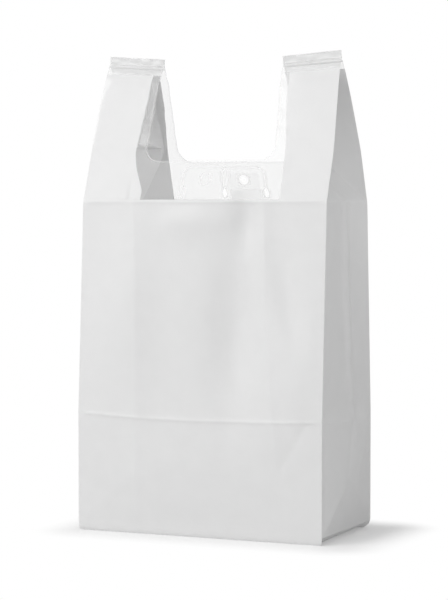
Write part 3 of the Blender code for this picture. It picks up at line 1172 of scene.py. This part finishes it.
@dataclass
class CarrierBag:
    """The bag: one piece of film, laid out, die-cut and folded."""

    name: str = "bag_film"
    node: str = "carrier_bag"
    film: float = 0.00012
    weld: float = 2e-6
    slope_step: float = 0.0003
    seam_rise: float = 0.0016
    seam_width: float = 0.006
    seam_fade: float = 0.02
    blade_reach: float = 0.01
    smooth_degrees: float = 55.0
    at_fold: tuple = (0.0, 0.0006, 0.0014, 0.0026)
    at_ridge: tuple = (0.066, 0.0676, 0.0688, 0.0694)
    at_foot: tuple = (0.0, 0.001, 0.002, 0.0045, 0.0076, 0.0082, 0.0105)
    panel_steps: tuple = ((0.0048, 0.0030), (0.050, 0.0019), (0.070, 0.0041), (0.140, 0.0))
    gusset_steps: tuple = ((0.0048, 0.0041), (0.046, 0.0017), (0.066, 0.0))
    row_steps: tuple = (
        (0.014, 0.0046),
        (0.1205, 0.0014),
        (0.1315, 0.0048),
        (0.345, 0.0012),
        (0.356, 0.0031),
        (0.402, 0.0014),
        (0.416, 0.0031),
        (0.486, 0.00135),
        (0.5055, 0.0),
    )
    form: FoldedForm = field(default_factory=FoldedForm)
    cuts: DieCuts = field(default_factory=DieCuts)
    finish: BlownPolythene = field(default_factory=BlownPolythene)

    def half_panel(self) -> list[float]:
        """Places from a panel's corner fold to its middle."""
        return list(self.at_fold) + stepped(self.panel_steps) + [self.form.width / 2.0]

    def half_gusset(self) -> list[float]:
        """Places from a gusset's corner fold to its ridge."""
        places = list(self.at_fold) + stepped(self.gusset_steps) + list(self.at_ridge)
        return places + [self.form.gusset]

    def columns(self) -> list[float]:
        """Every column of the flat film.

        Returns:
            The columns' ways round the tube, from the left ridge all the way round.
        """
        form = self.form
        in_gusset = [form.gusset - w for w in reversed(self.half_gusset())]
        to_middle = [form.gusset + w for w in self.half_panel()]
        mirror = 2.0 * form.gusset + form.width
        left_half = in_gusset[:-1] + to_middle
        right_half = [mirror - m for m in reversed(left_half[:-1])]
        front = left_half + right_half
        back = [form.girth - m for m in reversed(front[:-1])]
        return front + back

    def rows(self) -> list[float]:
        """Every row's height up the flat film."""
        return list(self.at_foot) + stepped(self.row_steps) + [self.form.top]

    def flat_film(self) -> bpy.types.Object:
        """Lays the film out flat: a grid of the planned columns and rows, given its thickness.

        Returns:
            The film, round the tube along X and up the bag along Y.
        """
        columns = self.columns()
        rows = self.rows()
        bpy.ops.mesh.primitive_grid_add(
            x_subdivisions=len(columns) - 1, y_subdivisions=len(rows) - 1, size=1.0
        )
        sheet = bpy.context.object
        sheet.name = self.name
        for vertex in sheet.data.vertices:
            i = round((vertex.co.x + 0.5) * (len(columns) - 1))
            j = round((vertex.co.y + 0.5) * (len(rows) - 1))
            vertex.co = (columns[i], rows[j], 0.0)
        wall = sheet.modifiers.new("thickness", "SOLIDIFY")
        wall.thickness = self.film
        wall.offset = 0.0
        bpy.ops.object.modifier_apply(modifier=wall.name)
        return sheet

    def stamp(self, outline: list, middle: float, way: float) -> bpy.types.Object:
        """Makes one blade block of the die.

        Args:
            outline: Its (x, z) outline.
            middle: The place round the tube that x = 0 falls on.
            way: 1 where the film runs with +X there, -1 where it runs against it.

        Returns:
            The block, standing through the flat film.
        """
        reach = self.blade_reach
        mesh = bpy.data.meshes.new("die")
        points = [(middle + way * x, z, -reach) for x, z in outline]
        mesh.from_pydata(points, [], [list(range(len(points)))])
        block = bpy.data.objects.new("die", mesh)
        bpy.context.collection.objects.link(block)
        bpy.ops.object.select_all(action="DESELECT")
        bpy.context.view_layer.objects.active = block
        block.select_set(True)
        bpy.ops.object.mode_set(mode="EDIT")
        bpy.ops.mesh.select_all(action="SELECT")
        bpy.ops.mesh.extrude_region_move(TRANSFORM_OT_translate={"value": (0.0, 0.0, 2 * reach)})
        bpy.ops.mesh.select_all(action="SELECT")
        bpy.ops.mesh.normals_make_consistent(inside=False)
        bpy.ops.object.mode_set(mode="OBJECT")
        return block

    def die_cut(self, sheet: bpy.types.Object) -> None:
        """Cuts the gap, the gussets' ridges, the tab, its hole and its notches out of the film.

        Args:
            sheet: The flat film.
        """
        form = self.form
        cuts = self.cuts
        front = form.gusset + form.width / 2.0
        back = front + form.girth / 2.0
        slit = cuts.ridge_slit(form.width / 2.0 - form.gusset)
        jobs = [(slit, 0.0, 1.0), (slit, form.girth / 2.0, 1.0), (slit, form.girth, 1.0)]
        for middle, way in ((front, 1.0), (back, -1.0)):
            jobs.append((cuts.gap(), middle, way))
            jobs.append((cuts.tab(), middle, way))
            jobs.append((cuts.oval(0.0, cuts.hole_height, cuts.hole, cuts.hole), middle, way))
            for reach in (-cuts.notch_reach, cuts.notch_reach):
                notch = cuts.oval(reach, cuts.notch_middle, cuts.notch_width, cuts.notch_height)
                jobs.append((notch, middle, way))
        for outline, middle, way in jobs:
            block = self.stamp(outline, middle, way)
            bpy.context.view_layer.objects.active = sheet
            cut = sheet.modifiers.new("die", "BOOLEAN")
            cut.operation = "DIFFERENCE"
            cut.solver = "EXACT"
            cut.object = block
            bpy.ops.object.modifier_apply(modifier=cut.name)
            bpy.data.objects.remove(block)

    def fold_up(self, sheet: bpy.types.Object) -> None:
        """Folds the cut film into the bag, joins the tube and closes its base.

        Args:
            sheet: The flat film, die-cut.
        """
        form = self.form
        mesh = bmesh.new()
        mesh.from_mesh(sheet.data)
        bmesh.ops.triangulate(mesh, faces=[f for f in mesh.faces if len(f.verts) > 4])
        mesh.verts.ensure_lookup_table()
        flat = np.array([v.co for v in mesh.verts], float)
        u, v, t = flat[:, 0], flat[:, 1], flat[:, 2]
        uv = mesh.loops.layers.uv.new("flat_film")
        for face in mesh.faces:
            for loop in face.loops:
                loop[uv].uv = (loop.vert.co.x, loop.vert.co.y)
        x, inward, _ = form.packed(u)
        marks = {
            "clear_reach": form.clear_reach(u, v),
            "clear_most": form.clear_most(u, v),
            "crinkled": form.crinkled(u, v),
            # Painted shade along the panels' cut edges, drawn as milkier film
            "painted_edge_shade": self.cuts.painted_edge_shade(x, v) * (inward <= 0.0),
        }
        for name, values in marks.items():
            layer = mesh.verts.layers.float.new(name)
            for vertex, value in zip(mesh.verts, values):
                vertex[layer] = value

        rims = [
            face
            for face in mesh.faces
            if all(p.co.y < TINY for p in face.verts)
            or all(p.co.x < TINY for p in face.verts)
            or all(p.co.x > form.girth - TINY for p in face.verts)
        ]
        bmesh.ops.delete(mesh, geom=rims, context="FACES_ONLY")

        step = self.slope_step
        middle = form.place(u, v)
        round_way = form.place(u + step, v) - form.place(u - step, v)
        up_way = form.place(u, v + step) - form.place(u, v - step)
        normal = np.cross(round_way, up_way)
        # A cross product's length is an area
        area = np.linalg.norm(normal, axis=1, keepdims=True)
        normal /= np.maximum(area, TINY**2)
        placed = middle + normal * t[:, None]
        for vertex, point in zip(mesh.verts, placed):
            vertex.co = point

        # The last column repeats the first, which it is welded to
        foot = (v < TINY) & (u < form.girth - TINY)
        for skin in Skin:
            at = [i for i in np.flatnonzero(foot) if t[i] * skin.value > 0]
            at.sort(key=lambda i: u[i])
            self.close_base(mesh, [mesh.verts[i] for i in at], skin, uv)
            mesh.verts.ensure_lookup_table()
        bmesh.ops.remove_doubles(mesh, verts=mesh.verts, dist=self.weld)
        mesh.to_mesh(sheet.data)
        mesh.free()

    def close_base(
        self, mesh: bmesh.types.BMesh, ring: list, skin: Skin, uv: bmesh.types.BMLayerItem
    ) -> None:
        """Spans one skin of the base across the foot.

        Args:
            mesh: The folded film.
            ring: The skin's foot vertices, once round from the left ridge.
            skin: Which face of the film it is.
            uv: The layer of the film's flat map.
        """
        form = self.form
        gusset = len(self.half_gusset()) - 1
        across = 2 * (len(self.half_panel()) - 1)
        front = ring[gusset : gusset + across + 1]
        right = ring[gusset + across : 3 * gusset + across + 1]
        back = list(reversed(ring[3 * gusset + across : 3 * gusset + 2 * across + 1]))
        left = list(reversed(ring[: gusset + 1])) + list(reversed(ring[3 * gusset + 2 * across :]))
        rows = [front]
        for near, far in zip(left[1:-1], right[1:-1]):
            row = [near]
            for a in front[1:-1]:
                share = (a.co.x - front[0].co.x) / (front[-1].co.x - front[0].co.x)
                x = near.co.x + (far.co.x - near.co.x) * share
                y = near.co.y + (far.co.y - near.co.y) * share
                height = self.base_rise(x, y) - skin.value * self.film / 2.0
                row.append(mesh.verts.new(Vector((x, y, height))))
            row.append(far)
            rows.append(row)
        rows.append(back)
        for near, far in zip(rows, rows[1:]):
            for i in range(len(near) - 1):
                corners = [near[i], far[i], far[i + 1], near[i + 1]]
                face = mesh.faces.new(corners if skin is Skin.OUTER else reversed(corners))
                for loop in face.loops:
                    loop[uv].uv = (loop.vert.co.x, loop.vert.co.y - form.gusset)

    def base_rise(self, x: float, y: float) -> float:
        """How high the base film lies: flat on the floor but for the seam along its middle.

        Args:
            x: A place across the bag.
            y: Its distance from front to back.

        Returns:
            The height.
        """
        seam = self.seam_rise * math.exp(-abs(y) / self.seam_width)
        fade = min(1.0, (self.form.width / 2.0 - abs(x)) / self.seam_fade)
        return self.film / 2.0 + seam * fade

    def build(self) -> bpy.types.Object:
        """Models the bag, dresses it and puts it in the CAD node's place.

        Returns:
            The finished piece.
        """
        bpy.ops.object.select_all(action="DESELECT")
        sheet = self.flat_film()
        self.die_cut(sheet)
        self.fold_up(sheet)
        bpy.ops.object.select_all(action="DESELECT")
        bpy.context.view_layer.objects.active = sheet
        sheet.select_set(True)
        bpy.ops.object.shade_smooth_by_angle(angle=math.radians(self.smooth_degrees))
        sheet.data.materials.clear()
        sheet.data.materials.append(self.finish.build())
        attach(sheet, "root")
        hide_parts(self.node)
        return sheet


@dataclass(frozen=True)
class Studio:
    """A white sweep, soft light from the front left, and the camera."""

    camera_at: tuple = (0.952, -2.111, 0.350)
    camera_heading: tuple = (-0.4115, 0.9114)
    lens_mm: float = 130.2
    sensor_mm: float = 36.0
    picture_height_px: float = 600.0
    horizon_above_px: float = 98.0
    ambient: float = 0.430
    ambient_slope: tuple = (0.0, -0.72, 0.70)
    key_watts: float = 47.0
    key_size: float = 2.4
    key_at: tuple = (-1.7, -2.3, 2.0)
    key_aim: tuple = (0.0, 0.0, 0.25)
    floor_size: float = 60.0
    floor_colour: str = "#e8e8e8"
    floor_seen: float = 1.12
    floor_white: float = 0.18
    base_half: tuple = (0.14, 0.07, 0.0)
    shadow_middle: tuple = (0.015, 0.0, 0.0)
    shadow_fades: tuple = (0.0, 0.065)

    def camera(self) -> None:
        """Sets the camera at the photograph's viewing angle."""
        data = bpy.data.cameras.new("camera")
        data.lens = self.lens_mm
        data.sensor_width = self.sensor_mm
        camera = bpy.data.objects.new("camera", data)
        bpy.context.scene.collection.objects.link(camera)
        camera.location = self.camera_at
        x, y = self.camera_heading
        focal_px = self.lens_mm / self.sensor_mm * self.picture_height_px
        tilt = math.atan(self.horizon_above_px / focal_px)
        camera.rotation_euler = (math.pi / 2 - tilt, 0.0, math.atan2(-x, y))
        bpy.context.scene.camera = camera

    def floor(self) -> None:
        """Lays the pale floor, which is white to the camera and keeps the bag's shadow."""
        bpy.ops.mesh.primitive_plane_add(size=self.floor_size)
        floor = bpy.context.object
        floor.name = "floor"
        material = bpy.data.materials.new("white_sweep")
        material.use_nodes = True
        tree = material.node_tree
        tree.nodes.clear()
        path = add_node(tree, "ShaderNodeLightPath")
        bright = tuple(self.floor_seen * c for c in linear(self.floor_colour)[:3]) + (1.0,)
        colour = add_node(
            tree,
            "ShaderNodeMix",
            {0: path.outputs["Is Camera Ray"], 6: linear(self.floor_colour), 7: bright},
            data_type="RGBA",
        )
        matt = add_node(tree, "ShaderNodeBsdfDiffuse", {"Color": colour.outputs[2]})
        # Away from the bag's base the sweep fades to plain white, for the camera alone
        apart = add_node(tree, "ShaderNodeTexCoord").outputs["Object"]
        for operation, other in (
            ("SUBTRACT", self.shadow_middle),
            ("ABSOLUTE", (0.0,) * 3),
            ("SUBTRACT", self.base_half),
            ("MAXIMUM", (0.0,) * 3),
        ):
            apart = add_node(
                tree, "ShaderNodeVectorMath", {0: apart, 1: other}, operation=operation
            ).outputs[0]
        apart = add_node(tree, "ShaderNodeVectorMath", {0: apart}, operation="LENGTH").outputs[1]
        near, far = self.shadow_fades
        fade = add_node(
            tree,
            "ShaderNodeMapRange",
            {"Value": apart, "From Min": near, "From Max": far, "To Min": self.floor_white},
            interpolation_type="SMOOTHSTEP",
        ).outputs[0]
        seen = add_node(
            tree,
            "ShaderNodeMath",
            {0: fade, 1: path.outputs["Is Camera Ray"]},
            operation="MULTIPLY",
        ).outputs[0]
        white = add_node(tree, "ShaderNodeEmission", {"Strength": 1.0})
        sweep = add_node(
            tree, "ShaderNodeMixShader", {0: seen, 1: matt.outputs[0], 2: white.outputs[0]}
        )
        add_node(tree, "ShaderNodeOutputMaterial", {"Surface": sweep.outputs[0]})
        floor.data.materials.append(material)

    def world(self) -> None:
        """Fills the room with soft light, a little more from the front and from above.

        It is plain white to the camera, in reflections and straight through clear film.
        """
        world = bpy.data.worlds.new("studio")
        world.use_nodes = True
        tree = world.node_tree
        tree.nodes.clear()
        path = add_node(tree, "ShaderNodeLightPath").outputs
        straight = add_node(
            tree,
            "ShaderNodeMath",
            {0: path["Is Transmission Ray"], 1: path["Is Diffuse Ray"]},
            operation="SUBTRACT",
        ).outputs[0]
        seen = path["Is Camera Ray"]
        for other in (path["Is Glossy Ray"], straight):
            seen = add_node(
                tree, "ShaderNodeMath", {0: seen, 1: other}, operation="MAXIMUM"
            ).outputs[0]
        way = add_node(tree, "ShaderNodeTexCoord").outputs["Generated"]
        slope = add_node(
            tree, "ShaderNodeVectorMath", {0: way, 1: self.ambient_slope}, operation="DOT_PRODUCT"
        ).outputs["Value"]
        soft = add_node(
            tree,
            "ShaderNodeMath",
            {0: slope, 1: self.ambient, 2: self.ambient},
            operation="MULTIPLY_ADD",
        ).outputs[0]
        strength = add_node(
            tree, "ShaderNodeMapRange", {"Value": seen, "To Min": soft, "To Max": 1.0}
        ).outputs[0]
        light = add_node(
            tree,
            "ShaderNodeBackground",
            {"Color": (1.0, 1.0, 1.0, 1.0), "Strength": strength},
        )
        add_node(tree, "ShaderNodeOutputWorld", {"Surface": light.outputs[0]})
        bpy.context.scene.world = world

    def key(self) -> None:
        """Hangs the soft key light at the front left."""
        data = bpy.data.lights.new("key", "AREA")
        data.shape = "SQUARE"
        data.size = self.key_size
        data.energy = self.key_watts
        lamp = bpy.data.objects.new("key", data)
        bpy.context.scene.collection.objects.link(lamp)
        lamp.location = self.key_at
        aim = Vector(self.key_aim) - Vector(self.key_at)
        lamp.rotation_euler = aim.to_track_quat("-Z", "Y").to_euler()

    def build(self) -> None:
        """Sets up the whole studio."""
        self.camera()
        self.floor()
        self.world()
        self.key()
        bpy.context.scene.view_settings.view_transform = "Standard"


def main() -> None:
    """Builds the studio and the bag."""
    logging.basicConfig(level=logging.INFO, format="%(name)s: %(message)s")
    Studio().build()
    bag = CarrierBag().build()
    triangles = sum(len(p.vertices) - 2 for p in bag.data.polygons)
    LOG.info("%s: %d triangles", bag.name, triangles)


if __name__ == "__main__":
    main()
